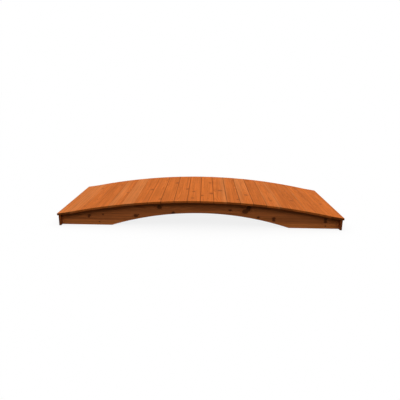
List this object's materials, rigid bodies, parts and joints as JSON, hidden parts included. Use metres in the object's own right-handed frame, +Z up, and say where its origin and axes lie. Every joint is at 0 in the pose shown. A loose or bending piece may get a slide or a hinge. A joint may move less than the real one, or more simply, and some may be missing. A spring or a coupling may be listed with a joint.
{
  "type": "moon bridge",
  "caption": "Low arched timber garden bridge: flat planks across bow-shaped stringers with arched undersides and flat feet, and a board across each end. It carries a path over a small stream.",
  "frame": {"origin": "on the ground, under the crown of the bridge and midway across its deck", "axes": "+X along the bridge to its right end, +Y across it to its rear side, +Z up"},
  "size_m": [3.0478, 1.219, 0.2963],
  "materials": {
    "deck_timber": "orange-brown stained softwood, matt, with knots",
    "stringer_timber": "orange-brown stained softwood, matt, with dark knots",
    "end_board_timber": "brown stained softwood, matt, darker at its edges",
    "screw_steel": "brown coated deck screws, dull"
  },
  "bodies": {
    "root": {"front_stringer": "stringer_timber", "middle_stringer": "stringer_timber", "rear_stringer": "stringer_timber", "left_end_board": "end_board_timber", "right_end_board": "end_board_timber", "plank_01": "deck_timber", "plank_02": "deck_timber", "plank_03": "deck_timber", "plank_04": "deck_timber", "plank_05": "deck_timber", "plank_06": "deck_timber", "plank_07": "deck_timber", "plank_08": "deck_timber", "plank_09": "deck_timber", "plank_10": "deck_timber", "plank_11": "deck_timber", "plank_12": "deck_timber", "plank_13": "deck_timber", "plank_14": "deck_timber", "plank_15": "deck_timber", "plank_16": "deck_timber", "plank_17": "deck_timber", "plank_18": "deck_timber", "plank_19": "deck_timber", "plank_20": "deck_timber", "plank_21": "deck_timber", "plank_22": "deck_timber"}
  },
  "joints": []
}
